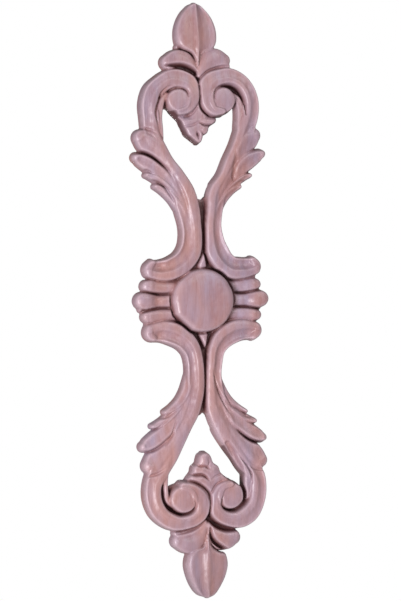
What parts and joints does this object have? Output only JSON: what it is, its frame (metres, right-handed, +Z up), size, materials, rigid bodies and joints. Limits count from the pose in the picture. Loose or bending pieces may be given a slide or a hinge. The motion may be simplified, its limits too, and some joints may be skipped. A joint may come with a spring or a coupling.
{
  "type": "carved wood applique",
  "caption": "Tall pierced wood applique: a round boss with leafy scroll arms that curl into volutes, side fans, little pendants and a bud at each end.",
  "frame": {"origin": "on the flat back, behind the middle of the boss", "axes": "+Z up the long axis, +X across to the viewer's right, and the carving stands out from the back towards -Y"},
  "size_m": [0.094, 0.016, 0.4],
  "materials": {
    "carved_wood": "bare, finely sanded, satin"
  },
  "bodies": {
    "root": {"applique": "carved_wood"}
  },
  "joints": []
}
